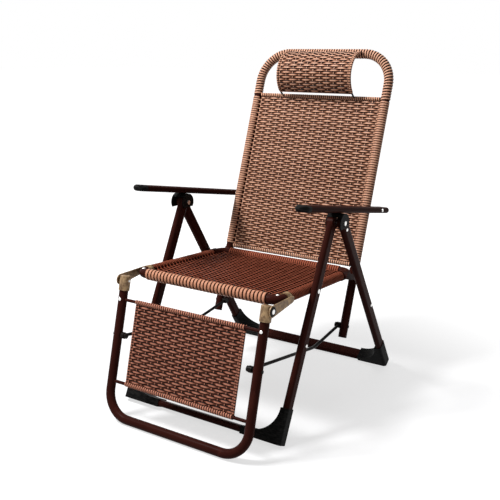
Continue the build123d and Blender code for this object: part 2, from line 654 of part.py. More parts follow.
LINK_PINS = {
    "back_link_pin": (BACK_LINK_PIN, BACK_HALF),
    "footrest_link_pin": (FOOT_LINK_PIN, FOOT_HALF),
}
for node, (point, tube_x) in LINK_PINS.items():
    with BuildPart() as link_pin:
        with BuildSketch(side(LINK_X - EYE_T / 2 - SIDE_GAP)):
            with Locations(point):
                Circle(PIN_R)
        extrude(amount=tube_x + TUBE_R - LINK_X + EYE_T / 2 + SIDE_GAP)
        with BuildSketch(side(LINK_X - EYE_T / 2 - SIDE_GAP - KNOB_T)):
            with Locations(point):
                Circle(KNOB_D / 2)
        extrude(amount=KNOB_T)
        with BuildSketch(side(EYE_OUT_X + SIDE_GAP)):
            with Locations(point):
                Circle(SPACER_R)
        extrude(amount=tube_x - TUBE_R - EYE_OUT_X - SIDE_GAP)
        with BuildSketch(side(tube_x + TUBE_R)):
            with Locations(point):
                Circle(SMALL_RIVET_R)
        extrude(amount=RIVET_T / 2)
    save_pair(link_pin.part, node)

# Arms: flat oval bars on a pin through the back tube, with a soft cap at the front end
ARM_DIR = (-cos(radians(ARM_RISE)), sin(radians(ARM_RISE)))


def arm_plane(distance):
    """Plane square to the arm, at a distance ahead of its pin."""
    return Plane(
        origin=(ARM_X, ARM_PIN[0] + distance * ARM_DIR[0] - MID_DEPTH, ARM_PIN[1] + distance * ARM_DIR[1]),
        x_dir=(1, 0, 0),
        z_dir=(0, ARM_DIR[0], ARM_DIR[1]),
    )


NOSE_FROM = ARM_AHEAD - ARM_W / 2
CAP_FROM = NOSE_FROM - CAP_GRIP
with BuildPart() as arm:
    with BuildSketch(arm_plane(-ARM_BEHIND)):
        SlotOverall(ARM_W, ARM_T)
    extrude(amount=ARM_BEHIND + CAP_FROM)
    fillet(edges().group_by(Axis.Y)[-1], ARM_ROUND)
    with BuildSketch(arm_plane(CAP_FROM)):
        SlotOverall(ARM_W - 2 * CAP_WALL, ARM_T - 2 * CAP_WALL)
    extrude(amount=CAP_GRIP)
    with Locations(across(ARM_X, ARM_PIN)):
        Cylinder(BORE_R, 2 * ARM_W, mode=Mode.SUBTRACT)
save_pair(arm.part, "arm")

with BuildPart() as arm_cap:
    with BuildSketch(arm_plane(CAP_FROM)):
        SlotOverall(ARM_W, ARM_T)
    extrude(amount=CAP_GRIP)
    with BuildSketch(arm_plane(NOSE_FROM)):
        SlotOverall(ARM_W, ARM_T)
        Rectangle(ARM_W, ARM_T, align=(Align.MIN, Align.CENTER), mode=Mode.SUBTRACT)
    revolve(axis=Axis(arm_plane(NOSE_FROM).origin, arm_plane(NOSE_FROM).y_dir), revolution_arc=180)
    with BuildSketch(arm_plane(CAP_FROM)):
        SlotOverall(ARM_W - 2 * CAP_WALL + 2 * RUN, ARM_T - 2 * CAP_WALL + 2 * RUN)
    extrude(amount=CAP_GRIP + RUN, mode=Mode.SUBTRACT)
save_pair(arm_cap.part, "arm_cap")

with BuildPart() as arm_pin:
    with BuildSketch(side(BACK_HALF)):
        with Locations(ARM_PIN):
            Circle(PIN_R)
    extrude(amount=ARM_X + ARM_W / 2 - BACK_HALF)
    with BuildSketch(side(ARM_X + ARM_W / 2)):
        with Locations(ARM_PIN):
            Circle(SMALL_RIVET_R)
    extrude(amount=RIVET_T / 2)
save_pair(arm_pin.part, "arm_pin")
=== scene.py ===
# %% [markdown]
# # A woven reclining chair
# The real chair is a frame of painted tube with plaited strand stretched over it. The frame comes
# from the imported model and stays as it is. This lesson dresses it: every strand of the weave is
# laid as real geometry, the metal and plastic get their finishes, and the rivets go on.

# %% Load the frame
import json
from math import acos, atan2, pi, radians

import bpy
import numpy as np
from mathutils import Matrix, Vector


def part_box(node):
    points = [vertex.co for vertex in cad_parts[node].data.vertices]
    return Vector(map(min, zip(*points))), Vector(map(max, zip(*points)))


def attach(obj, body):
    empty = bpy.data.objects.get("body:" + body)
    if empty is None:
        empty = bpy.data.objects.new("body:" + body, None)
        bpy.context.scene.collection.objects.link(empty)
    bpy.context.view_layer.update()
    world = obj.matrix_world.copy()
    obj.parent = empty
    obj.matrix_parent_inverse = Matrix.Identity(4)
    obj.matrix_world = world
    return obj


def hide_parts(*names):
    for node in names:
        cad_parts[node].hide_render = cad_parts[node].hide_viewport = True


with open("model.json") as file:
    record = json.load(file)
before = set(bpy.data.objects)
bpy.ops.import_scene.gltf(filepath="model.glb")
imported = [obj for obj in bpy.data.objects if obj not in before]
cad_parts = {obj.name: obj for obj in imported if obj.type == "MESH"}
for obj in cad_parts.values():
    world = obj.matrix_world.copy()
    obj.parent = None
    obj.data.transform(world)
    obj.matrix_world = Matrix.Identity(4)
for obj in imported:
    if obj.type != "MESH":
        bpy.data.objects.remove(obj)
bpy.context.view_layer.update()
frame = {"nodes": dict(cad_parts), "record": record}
NODES = frame["nodes"]

# %% [markdown]
# ## The camera
# The picture's straight edges fix the camera: where it stands, how it is turned and how long its
# lens is. A camera fitted this way lets every later difference be read as a difference in shape.

# %% Camera
CAMERA_AT = (1.25782, -1.99988, 1.11215)
CAMERA_AZIMUTH = 32.73
CAMERA_DOWN = 15.15
CAMERA_LENS = 53.92

camera = bpy.data.objects.new("camera", bpy.data.cameras.new("camera"))
camera.location = CAMERA_AT
camera.rotation_euler = (radians(90 - CAMERA_DOWN), 0, radians(CAMERA_AZIMUTH))
camera.data.lens = CAMERA_LENS
camera.data.sensor_width = 36
bpy.context.scene.collection.objects.link(camera)
bpy.context.scene.camera = camera
print("camera at", tuple(camera.location))

# %% [markdown]
# ## Arithmetic on sockets
# A finish is mostly a little arithmetic on noise. Wrapping a socket in a class that knows plus,
# minus, times and divide lets that arithmetic be read as it would be on paper. Everything that
# isn't arithmetic goes through one method: a node's type, its settings, then its sockets.


# %% Shader helpers
class Value:
    """A socket that takes part in arithmetic, one Math node for each operation."""

    def __init__(self, tree, socket):
        self.tree = tree
        self.socket = socket

    def math(self, operation, first, second):
        node = self.tree.nodes.new("ShaderNodeMath")
        node.operation = operation
        put(self.tree, node.inputs[0], first)
        put(self.tree, node.inputs[1], second)
        return Value(self.tree, node.outputs[0])

    def __add__(self, other):
        return self.math("ADD", self, other)

    def __radd__(self, other):
        return self.math("ADD", other, self)

    def __sub__(self, other):
        return self.math("SUBTRACT", self, other)

    def __rsub__(self, other):
        return self.math("SUBTRACT", other, self)

    def __mul__(self, other):
        return self.math("MULTIPLY", self, other)

    def __rmul__(self, other):
        return self.math("MULTIPLY", other, self)

    def __truediv__(self, other):
        return self.math("DIVIDE", self, other)

    def __rtruediv__(self, other):
        return self.math("DIVIDE", other, self)


def put(tree, target, value):
    """Link a Value to a socket, or write a plain number or colour into it."""
    if isinstance(value, Value):
        tree.links.new(value.socket, target)
    else:
        target.default_value = value


def find_socket(node, key):
    """A node's input by its identifier, or else by its name or number."""
    for socket in node.inputs:
        if socket.identifier == key:
            return socket
    return node.inputs[key]


class Finish:
    """A material whose surface is one Principled shader."""

    def __init__(self, name):
        self.material = bpy.data.materials.new(name)
        self.material.use_nodes = True
        self.tree = self.material.node_tree
        self.surface = self.tree.nodes["Principled BSDF"]

    def node(self, kind, settings, sockets, output=0):
        """Add a node: its type, its settings, then the values or links of its sockets."""
        made = self.tree.nodes.new("ShaderNode" + kind)
        for key, value in settings.items():
            if key == "stops":
                set_stops(made.color_ramp, value)
            else:
                setattr(made, key, value)
        for key, value in sockets.items():
            put(self.tree, find_socket(made, key), value)
        return Value(self.tree, made.outputs[output])

    def set(self, **sockets):
        """Write the surface's own sockets, with underscores for spaces."""
        for key, value in sockets.items():
            put(self.tree, self.surface.inputs[key.replace("_", " ")], value)


def set_stops(ramp, stops):
    """Give a colour ramp its stops, as (place, colour) pairs."""
    while len(ramp.elements) < len(stops):
        ramp.elements.new(0.5)
    for element, (place, colour) in zip(ramp.elements, stops):
        element.position = place
        element.color = colour


def colour(red, green, blue):
    """A display colour of 0 to 255, as the linear colour that shaders take."""
    linear = []
    for part in (red / 255, green / 255, blue / 255):
        linear.append(part / 12.92 if part <= 0.04045 else ((part + 0.055) / 1.055) ** 2.4)
    return (*linear, 1.0)


print("helpers ready")

# %% [markdown]
# ## Shared parts of the finishes
# Noise in the object's own coordinates stays put when a piece moves. The scale is in waves a
# metre, so 900 is a grain of about a millimetre.


# %% Noise, mixing and relief
def place(finish):
    """The piece's own coordinates, in metres."""
    return finish.node("TexCoord", {}, {}, output=3)


def grain(finish, scale, detail=3.0, stretch=(1, 1, 1)):
    """Noise of 0 to 1 at a scale in waves a metre, stretched along an axis if asked."""
    at = finish.node("Mapping", {}, {"Vector": place(finish), "Scale": stretch})
    return finish.node("TexNoise", {}, {"Vector": at, "Scale": scale, "Detail": detail})


def blend_colours(finish, share, first, second):
    """A colour between two, by a share of 0 to 1."""
    settings = {"data_type": "RGBA", "clamp_factor": True}
    sockets = {"Factor_Float": share, "A_Color": first, "B_Color": second}
    return finish.node("Mix", settings, sockets, output=2)


def between(finish, value, low, high):
    """A smooth step of a value from 0 at its low mark to 1 at its high one."""
    sockets = {"Value": value, "From Min": low, "From Max": high}
    return finish.node("MapRange", {"interpolation_type": "SMOOTHSTEP"}, sockets)


def relief(finish, height, distance, strength=1.0):
    """Bend the surface's normal by a height of 0 to 1 times a distance in metres."""
    bump = finish.node("Bump", {}, {"Height": height, "Distance": distance, "Strength": strength})
    finish.set(Normal=bump)


print("noise ready")

# %% [markdown]
# ## Painted tube, plastic, bronze and steel
# The tubes are stove-enamelled in dark chocolate: a satin skin with a faint orange-peel ripple,
# fine dust in the gloss and thin rubbed marks where the chair is folded. The feet and caps are
# moulded charcoal plastic with a leather grain. The hinge covers are a matt bronze paint, mottled
# where hands touch. Rivets are bright steel. Dark paint keeps its depth only if it mirrors little,
# so its specular level is low.


# %% Hard finishes
def enamel(name, base, light, roughness, gloss):
    """Satin stove enamel: cloudy colour, orange-peel ripple, dust and rubbed marks."""
    finish = Finish(name)
    cloud = grain(finish, 9.0)
    peel = grain(finish, 420.0, detail=2.0)
    dust = grain(finish, 1600.0)
    rubbed = between(finish, grain(finish, 38.0, detail=9.0, stretch=(1, 1, 0.35)), 0.6, 0.72)
    finish.set(Base_Color=blend_colours(finish, 0.55 * cloud + 0.3 * rubbed, base, light))
    finish.set(Roughness=roughness + 0.16 * (dust - 0.5) + 0.1 * (cloud - 0.5) + 0.12 * rubbed)
    finish.set(Specular_IOR_Level=gloss)
    relief(finish, peel * 0.7 + dust * 0.3, 0.00012)
    return finish.material


def moulded(name, base, light, roughness, gloss):
    """Moulded plastic: leather grain, scuffs that catch the light."""
    finish = Finish(name)
    cells = finish.node("TexVoronoi", {"feature": "F1"}, {"Vector": place(finish), "Scale": 700.0})
    scuff = grain(finish, 60.0, detail=8.0, stretch=(1, 1, 4))
    finish.set(Base_Color=blend_colours(finish, between(finish, scuff, 0.35, 0.75), base, light))
    finish.set(Roughness=roughness + 0.25 * (scuff - 0.5), Specular_IOR_Level=gloss)
    relief(finish, cells, 0.00018, 0.8)
    return finish.material


def bronze_paint(name):
    """Matt bronze paint over steel, mottled and rubbed."""
    finish = Finish(name)
    mottle = grain(finish, 85.0, detail=6.0)
    fine = grain(finish, 900.0)
    shade = between(finish, mottle, 0.3, 0.7)
    finish.set(Base_Color=blend_colours(finish, shade, colour(104, 78, 52), colour(172, 142, 104)))
    finish.set(Metallic=0.2 + 0.2 * mottle, Roughness=0.52 + 0.3 * (mottle - 0.5))
    relief(finish, fine, 0.0001)
    return finish.material


def bright_steel(name):
    """Bright rivet steel, with fine drawing lines and a little haze."""
    finish = Finish(name)
    lines = grain(finish, 2200.0, detail=2.0, stretch=(1, 1, 6))
    haze = grain(finish, 160.0)
    finish.set(Base_Color=blend_colours(finish, haze, colour(206, 205, 202), colour(246, 245, 243)))
    finish.set(Metallic=1.0, Roughness=0.2 + 0.2 * haze)
    relief(finish, lines, 0.00004)
    return finish.material


FRAME_PAINT = enamel("frame_paint", colour(44, 16, 12), colour(78, 38, 31), 0.34, 0.02)
ARM_BROWN = enamel("arm_brown", colour(36, 14, 11), colour(68, 36, 30), 0.4, 0.008)
BLACK_ROD = enamel("black_rod", colour(14, 11, 10), colour(34, 27, 25), 0.36, 0.05)
CHARCOAL = moulded("charcoal", colour(13, 13, 13), colour(40, 39, 38), 0.5, 0.03)
BRONZE = bronze_paint("bronze")
BRIGHT_PIN = bright_steel("bright_pin")
print("hard finishes ready")

# %% [markdown]
# ## Dress the frame
# The record says which slot each node belongs to, so one loop gives every hard node its finish.
# The woven nodes are left out: strands stand for them later.

# %% Finishes on the frame's own nodes
SLOT_FINISH = {
    "frame_paint": FRAME_PAINT,
    "arm_brown": ARM_BROWN,
    "black_rod": BLACK_ROD,
    "charcoal": CHARCOAL,
    "bronze": BRONZE,
    "bright_pin": BRIGHT_PIN,
}
dressed = 0
for subpart in frame["record"]["subparts"]:
    finish = SLOT_FINISH.get(subpart["material_slot"])
    if finish:
        materials = NODES[subpart["node"]].data.materials
        materials.clear()
        materials.append(finish)
        dressed += 1
print("dressed", dressed, "of", len(NODES), "nodes")

# %% [markdown]
# ## The strand
# The weave is a plastic strand made to look like split rattan: two browns run along it in streaks,
# and its back is crowned and waxy. Where it bulges out over an upright it gets a painted highlight.
# Where it dips, and along its edges in the creases between strands, it gets painted shade. Each
# strand carries four numbers to its shader: how far along it a point lies, how far across, its own
# tone, and how far it stands out of the weave, which sets its painted highlight and shade.


# %% Strand finish
CREASE_SHADE_FROM = 0.015
CREASE_SHADE_TO = 0.13


def strand_finish(name, gloss, hollow_shade, body, crest_highlight):
    """Rattan-like strand: streaks, a tone of its own, painted highlights and painted shade."""
    finish = Finish(name)
    along = finish.node("Attribute", {"attribute_name": "along"}, {}, output=2)
    across = finish.node("Attribute", {"attribute_name": "across"}, {}, output=2)
    tone = finish.node("Attribute", {"attribute_name": "tone"}, {}, output=2)
    crown = finish.node("Attribute", {"attribute_name": "crown"}, {}, output=2)
    spread = {"X": along * 22.0, "Y": across * 2.6, "Z": tone * 40.0}
    streak_at = finish.node("CombineXYZ", {}, spread)
    streak = finish.node("TexNoise", {}, {"Vector": streak_at, "Scale": 1.0, "Detail": 4.0})
    patch = finish.node("TexNoise", {}, {"Vector": streak_at, "Scale": 0.22, "Detail": 1.0})
    # Painted shade: the creases along the strand's edges are darkened, more so where it dips back.
    crease_shade = between(finish, across * across, CREASE_SHADE_FROM, CREASE_SHADE_TO)
    cast = 0.3 * (streak - 0.5) + 0.2 * (patch - 0.5) + 0.1 * (tone - 0.5)
    shade = 0.6 + 0.45 * crown + cast - crease_shade * (1 - 0.6 * crown)
    stops = [(0.12, hollow_shade), (0.42, body), (0.85, crest_highlight)]
    finish.set(Base_Color=finish.node("ValToRGB", {"stops": stops}, {"Fac": shade}))
    finish.set(Roughness=0.52 - 0.14 * streak - 0.08 * crown, Specular_IOR_Level=gloss)
    relief(finish, streak, 0.0003)
    return finish.material


# The hollow colour is painted shade for where a strand dips back; the crest colour is a painted
# highlight.
HOLLOW_SHADE = colour(24, 7, 3)
# The seat's and footrest's strands are darker copies of the back's strand, painted shade; the seat
# bar's strand is a lighter copy, a painted highlight.
STRAND = strand_finish("strand", 0.15, HOLLOW_SHADE, colour(154, 99, 73), colour(226, 172, 142))
SHADED_SEAT_STRAND = strand_finish("seat_strand_shaded", 0.01, HOLLOW_SHADE, colour(108, 47, 31), colour(162, 91, 69))
SHADED_FOOT_STRAND = strand_finish(
    "footrest_strand_shaded", 0.1, HOLLOW_SHADE, colour(128, 73, 55), colour(192, 128, 105)
)
LIT_BAR_STRAND = strand_finish("bar_strand_lit", 0.1, HOLLOW_SHADE, colour(142, 84, 58), colour(206, 146, 116))
print("strand finishes ready")

# %% [markdown]
# ## Laying a strand
# A strand is a crowned section carried along a route. At each point of the route the section needs
# two directions: the way the strand faces and the way its width runs. Working on whole arrays
# keeps thousands of crossings quick. The lift says how far the strand stands out at each point,
# from -1 behind the weave to 1 in front of it. The face that stands out gets a painted highlight,
# and the face set back gets painted shade.

# %% Strand geometry
STRAND_T = 0.0028
SECTION = np.array([(-0.5, 0), (-0.29, 0.5), (0.29, 0.5), (0.5, 0), (0.29, -0.5), (-0.29, -0.5)])
RELIEF_SHADE_SCALE = 0.5
TONES = np.random.default_rng(7)


class Strands:
    """Collects routes and turns them into one mesh."""

    def __init__(self):
        self.points = []
        self.faces = []
        self.along = []
        self.across = []
        self.tone = []
        self.crown = []
        self.count = 0

    def lay(self, route, facing, wide, width, lift, thick=STRAND_T):
        """Carry the section along a route, with a facing, a width and a lift at each point."""
        rings = len(route)
        sides = len(SECTION)
        widths = np.broadcast_to(width, rings)[:, None, None]
        lifts = np.broadcast_to(lift, rings)[:, None]
        across = SECTION[:, 0][None, :, None] * widths
        depth = SECTION[:, 1][None, :, None] * np.broadcast_to(thick, rings)[:, None, None]
        ring = route[:, None, :] + across * wide[:, None, :] + depth * facing[:, None, :]
        self.points.append(ring.reshape(-1, 3))
        steps = np.linalg.norm(np.diff(route, axis=0), axis=1)
        run = np.concatenate([[0.0], np.cumsum(steps)])
        self.along.append(np.repeat(run, sides))
        self.across.append((across[:, :, 0] / widths.min()).ravel())
        self.tone.append(np.full(rings * sides, TONES.random()))
        # Painted highlight on the faces that stand out, painted shade on the faces set back.
        outer = np.sign(SECTION[:, 1])[None, :]
        self.crown.append((RELIEF_SHADE_SCALE * (outer * lifts)).ravel())
        first = self.count + np.arange(rings - 1)[:, None] * sides
        here = first + np.arange(sides)[None, :]
        there = first + (np.arange(sides)[None, :] + 1) % sides
        quads = np.stack([here, there, there + sides, here + sides], axis=-1)
        self.faces.append(quads.reshape(-1, 4))
        for start in (self.count, self.count + (rings - 1) * sides):
            loop = start + np.arange(sides)
            order = loop if start > self.count else loop[::-1]
            self.faces.append(np.array([order[[0, 1, 2, 5]], order[[2, 3, 4, 5]]]))
        self.count += rings * sides

    def build(self, name, material):
        """One object of all the strands."""
        mesh = bpy.data.meshes.new(name)
        faces = np.concatenate(self.faces)
        mesh.from_pydata(np.concatenate(self.points).tolist(), [], faces.tolist())
        for key in ("along", "across", "tone", "crown"):
            attribute = mesh.attributes.new(key, "FLOAT", "POINT")
            values = np.concatenate(getattr(self, key)).astype(np.float32)
            attribute.data.foreach_set("value", values)
        mesh.shade_smooth()
        mesh.materials.append(material)
        made = bpy.data.objects.new(name, mesh)
        bpy.context.scene.collection.objects.link(made)
        print(name, 2 * len(faces), "triangles")
        return made


def turn(vectors):
    """Turn an array of flat vectors a quarter turn to the left."""
    return np.stack([-vectors[:, 1], vectors[:, 0]], axis=1)


def directions(path):
    """Unit directions along an array of points."""
    steps = np.gradient(path, axis=0)
    return steps / np.linalg.norm(steps, axis=1, keepdims=True)


print("strand tools ready")

# %% [markdown]
# ## Where the panels lie
# Each panel is a line seen from the side, run across the chair between two rims. The cross rods
# and the seat ring of the frame say where those lines start and end, so nothing is typed twice.

# %% Panels
TUBE_R = 0.014
ROD_R = 0.005
WIRE_R = 0.003
EDGE_R = 0.0022


def middle(node):
    """Middle of a node's box, as (depth, height)."""
    low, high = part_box(node)
    return np.array([(low.y + high.y) / 2, (low.z + high.z) / 2])


class Panel:
    """A flat woven field from a lower to an upper edge, with rims at both sides."""

    def __init__(self, low, high, half, rim):
        self.low = low
        self.length = np.linalg.norm(high - low)
        self.up = (high - low) / self.length
        self.half = half
        self.rim = rim

    def at(self, run):
        """Point, upward direction and facing at a distance from the lower edge."""
        facing = np.array([-self.up[1], self.up[0]])
        return self.low + run * self.up, self.up, facing


class Bow:
    """A field bowed on an arc, measured along the arc from its lower end."""

    def __init__(self, centre, radius, first, last, half, rim):
        self.centre = centre
        self.radius = radius
        self.first = first
        self.sweep = last - first
        self.length = abs(self.sweep) * radius
        self.half = half
        self.rim = rim

    def at(self, run):
        """Point, upward direction and facing at a distance along the arc."""
        angle = self.first + self.sweep * run / self.length
        facing = np.array([np.cos(angle), np.sin(angle)])
        up = np.array([-facing[1], facing[0]]) * np.sign(self.sweep)
        return self.centre + self.radius * facing, up, facing


BACK = Panel(
    middle("back_rod_lower"),
    middle("back_rod_upper"),
    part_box("back_rod_upper")[1].x,
    TUBE_R,
)
FOOT = Panel(
    middle("footrest_rod_lower"),
    middle("footrest_rod_upper"),
    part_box("footrest_weave")[1].x - EDGE_R,
    EDGE_R,
)
ring_low, ring_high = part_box("seat_frame")
SEAT = Panel(
    np.array([ring_low.y + TUBE_R, ring_high.z - TUBE_R]),
    np.array([ring_high.y - TUBE_R, ring_low.z + TUBE_R]),
    ring_high.x - TUBE_R,
    TUBE_R,
)
for title, panel in (("back", BACK), ("seat", SEAT), ("footrest", FOOT)):
    print(title, "length", round(panel.length, 4))

# %% [markdown]
# The headrest is bowed on two wires. A circle fitted to the points of one wire gives the bow, and
# the wire's ends give its sweep.


# %% Headrest bow
def fitted_bow(node):
    """The bow through a wire's points, from its lower end to its upper one."""
    points = np.array([(v.co.y, v.co.z) for v in NODES[node].data.vertices])
    square = (points**2).sum(axis=1)
    system = np.column_stack([points, np.ones(len(points))])
    solved = np.linalg.lstsq(system, square, rcond=None)[0]
    centre = solved[:2] / 2
    radius = np.sqrt(solved[2] + centre @ centre)
    angles = np.unwrap(np.arctan2(points[:, 1] - centre[1], points[:, 0] - centre[0]) % (2 * pi))
    ends = (angles[np.argmin(points[:, 1])], angles[np.argmax(points[:, 1])])
    return centre, radius, *ends


low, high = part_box("headrest_wire_left")
HEAD = Bow(*fitted_bow("headrest_wire_left"), (low.x + high.x) / 2, WIRE_R)
print("headrest bow radius", round(HEAD.radius, 4), "sweep", round(np.degrees(HEAD.sweep), 1))

# %% [markdown]
# ## Weaving
# The cross strands lie edge to edge, about 8 mm apart, and pass over and under uprights 26 mm
# apart, one row opposite to the next. A strand dips behind for a little longer than it floats in
# front. At each crossing it is pressed wider, and its edges slip under its neighbours' edges, so
# that little shows through. At the rim a strand runs straight to the tube, touches it on the side
# opposite to its last crossing, and winds round it. So the tube's wrapping isn't a separate thing:
# it is the ends of the rows.

# %% One row
UPRIGHT_GAP = 0.026
RIM_GAP = 0.005
ROW_SWING = 0.0016
ROW_WIDTH = 1.1
ROW_FLARE = 0.3
FLARE_FROM = 0.25
FLARE_TO = 0.75
RIM_WIDTH = 1.2
RIM_T = 0.0016
ROW_SQUARE = 3.5
ROW_DIP = 0.1
ROW_PHASES = np.array([0.0, 0.25, 0.4, 0.47, 0.53, 0.6, 0.75])
WIND_STEPS = 16
WIND_END = 2 * pi - 0.5


def upright_places(panel):
    """Where the uprights stand across a panel, the outermost close to the rims."""
    room = panel.half - panel.rim - RIM_GAP
    return np.linspace(-room, room, round(2 * room / UPRIGHT_GAP) + 1)


def winding(panel, reach, height):
    """Path round a rim whose axis is the origin, ending at its touch with a line to the panel."""
    radius = panel.rim + RIM_T / 2
    touch = atan2(height, reach) + acos(min(1.0, radius / np.hypot(reach, height)))
    angles = np.linspace(WIND_END, touch, WIND_STEPS)
    return np.stack([radius * np.cos(angles), radius * np.sin(angles)], axis=1)


def row_path(panel, uprights, side, wound):
    """A row seen end on: (across, out) points from the right rim to the left, and their lift."""
    gap = uprights[1] - uprights[0]
    xs = (uprights[:-1, None] + gap * ROW_PHASES[None, :]).ravel()
    xs = np.append(xs, uprights[-1])
    swing = side * np.cos(pi * (xs - uprights[0]) / gap)
    lift = np.tanh(ROW_SQUARE * (swing - ROW_DIP)) / np.tanh(ROW_SQUARE * (1 - ROW_DIP))
    field = np.stack([xs, ROW_SWING * lift], axis=1)
    if not wound:
        return field, lift
    reach = panel.half + uprights[0]
    last_side = side * (-1) ** (len(uprights) - 1)
    first = winding(panel, reach, -ROW_SWING) * (1, -side) - (panel.half, 0)
    last = winding(panel, reach, -ROW_SWING) * (-1, -last_side) + (panel.half, 0)
    lifts = [np.full(WIND_STEPS, -side), lift, np.full(WIND_STEPS, -last_side)]
    return np.concatenate([first, field, last[::-1]]), np.concatenate(lifts)


def lay_row(strands, panel, uprights, run, side, pitch, wound=True):
    """One row of the weave at a distance up the panel."""
    path, lift = row_path(panel, uprights, side, wound)
    faces = turn(directions(path))
    point, up, out = panel.at(run)
    route = np.column_stack([path[:, 0], point + path[:, 1:] * out])
    facing = np.column_stack([faces[:, 0], faces[:, 1:] * out])
    wide = np.tile((0, *up), (len(path), 1))
    inside = np.abs(path[:, 0]) < uprights[-1]
    swell = np.clip((np.abs(lift) - FLARE_FROM) / (FLARE_TO - FLARE_FROM), 0, 1)
    width = pitch * np.where(inside, ROW_WIDTH + ROW_FLARE * swell, RIM_WIDTH)
    strands.lay(route, facing, wide, width, lift, np.where(inside, STRAND_T, RIM_T))


print("row of the back:", len(row_path(BACK, upright_places(BACK), 1, True)[0]), "points")

# %% [markdown]
# The uprights are stiffer than the rows and bend less. They end under the wrapping of the bars.
# On the seat the corner clamps hold the side tubes, and the rows beside them end at the outermost
# upright, as the frame's own sheet does.

# %% Panels of rows and uprights
UPRIGHT_W = 0.0074
UPRIGHT_T = 0.0018
UPRIGHT_SWING = 0.0012


def weave(panel, pitch, margin, clear=(0.0, 10.0)):
    """All the rows and uprights of a panel, clear of its end bars by a margin."""
    strands = Strands()
    uprights = upright_places(panel)
    rows = round((panel.length - 2 * margin) / pitch)
    gap = (panel.length - 2 * margin) / rows
    for row in range(rows):
        run = margin + (row + 0.5) * gap
        wound = clear[0] + gap / 2 < run < clear[1] - gap / 2
        lay_row(strands, panel, uprights, run, 1 if row % 2 else -1, gap, wound)
    runs = np.linspace(0, panel.length, 2 * round(panel.length / gap) + 1)
    swing = np.cos(pi * (runs - margin - gap / 2) / gap)
    places = [panel.at(run) for run in runs]
    middles = np.array([point for point, _, _ in places])
    outs = np.array([out for _, _, out in places])
    wide = np.tile((1.0, 0, 0), (len(runs), 1))
    facing = np.column_stack([np.zeros(len(runs)), outs])
    for index, x in enumerate(uprights):
        lift = swing * (-1) ** index
        line = middles + UPRIGHT_SWING * lift[:, None] * outs
        route = np.column_stack([np.full(len(runs), x), line])
        strands.lay(route, facing, wide, UPRIGHT_W, lift, UPRIGHT_T)
    print(rows, "rows", round(gap * 1000, 2), "mm apart,", len(uprights), "uprights")
    return strands


print("uprights of the seat:", len(upright_places(SEAT)))

# %% [markdown]
# ## Wound bars
# The bars across a panel and the top of the back are wound with a strand, like the grip of a bat.
# On the rods and the top the turns stand a little apart, and the dark tube shows between them. The
# seat's front bar has a broader, thicker strand than the rest, and its rear bar is wound in the
# seat's own strand. On these two the turns touch.

# %% Coils
COIL_T = 0.0024
# A lift above 1 paints a strong highlight on the outer face of each turn and lightens the shade
# painted in its creases.
COIL_PAINTED_LIGHT = 1.7


def coil(strands, centres, sideways, outward, radius, pitch, width, thick=COIL_T):
    """Wind a strand round a bar whose axis runs through the centres, one pitch a turn."""
    lengths = np.concatenate([[0.0], np.cumsum(np.linalg.norm(np.diff(centres, axis=0), axis=1))])
    turns = max(1, round(lengths[-1] / pitch))
    steps = turns * (WIND_STEPS if radius > ROD_R else WIND_STEPS // 2) + 1
    runs = np.linspace(0, lengths[-1], steps)
    angle = np.linspace(0, 2 * pi * turns, steps)[:, None]
    axis = np.column_stack([np.interp(runs, lengths, centres[:, k]) for k in range(3)])
    across = np.column_stack([np.interp(runs, lengths, sideways[:, k]) for k in range(3)])
    out = np.column_stack([np.interp(runs, lengths, outward[:, k]) for k in range(3)])
    facing = np.cos(angle) * across + np.sin(angle) * out
    wide = np.cross(across, out)
    strands.lay(axis + (radius + thick / 2) * facing, facing, wide, width, COIL_PAINTED_LIGHT, thick)


def coil_bar(strands, panel, run, half, radius, pitch, width, thick=COIL_T):
    """Wind a bar that lies across a panel."""
    point, up, out = panel.at(run)
    centres = np.array([(-half, *point), (half, *point)])
    sideways = np.tile((0, *up), (2, 1))
    outward = np.tile((0, *out), (2, 1))
    coil(strands, centres, sideways, outward, radius, pitch, width, thick)


ROD_COIL = 0.0079
ROD_STRAND = ROD_COIL * 0.9
BAR_COIL = 0.0125
BAR_COIL_T = 0.0034
print("coils ready")

# %% [markdown]
# ## The back, seat and footrest panels
# Each panel replaces its plain sheet in the frame and rides on the same body. The frame's seat
# sheet says between which places its sides are wrapped.

# %% Woven panels
ROW_PITCH = 0.0081
BACK_MARGIN = ROD_R + STRAND_T
SEAT_MARGIN = TUBE_R + STRAND_T
SEAT_CORNER = 0.034


def hang(strands, name, node, body, material):
    """Build a woven piece that moves with a body, and stands for a node if one is named."""
    made = strands.build(name, material)
    if node:
        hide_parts(node)
    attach(made, body)


def wrapped_sides(panel, node):
    """Where along a panel its sheet wraps the side tubes, from the sheet's outermost points."""
    points = np.array([vertex.co for vertex in NODES[node].data.vertices])
    outermost = points[np.abs(points[:, 0]) > panel.half + panel.rim / 2]
    runs = (outermost[:, 1:] - panel.low) @ panel.up
    return runs.min(), runs.max()


back_strands = weave(BACK, ROW_PITCH, BACK_MARGIN)
for run in (0, BACK.length):
    rod_half = BACK.half - TUBE_R - STRAND_T
    coil_bar(back_strands, BACK, run, rod_half, ROD_R, ROD_COIL, ROD_STRAND)
hang(back_strands, "back_panel", "back_weave", "back", STRAND)

# %% Seat and footrest
SEAT_WRAP = wrapped_sides(SEAT, "seat_weave")
seat_strands = weave(SEAT, ROW_PITCH, SEAT_MARGIN, SEAT_WRAP)
bar_half = SEAT.half - SEAT_CORNER
coil_bar(seat_strands, SEAT, SEAT.length, bar_half, TUBE_R, ROW_PITCH, ROW_PITCH)
hang(seat_strands, "seat_panel", "seat_weave", "base", SHADED_SEAT_STRAND)
front_strands = Strands()
coil_bar(front_strands, SEAT, 0, bar_half, TUBE_R, BAR_COIL, BAR_COIL, BAR_COIL_T)
hang(front_strands, "seat_bar_wrap", None, "base", LIT_BAR_STRAND)

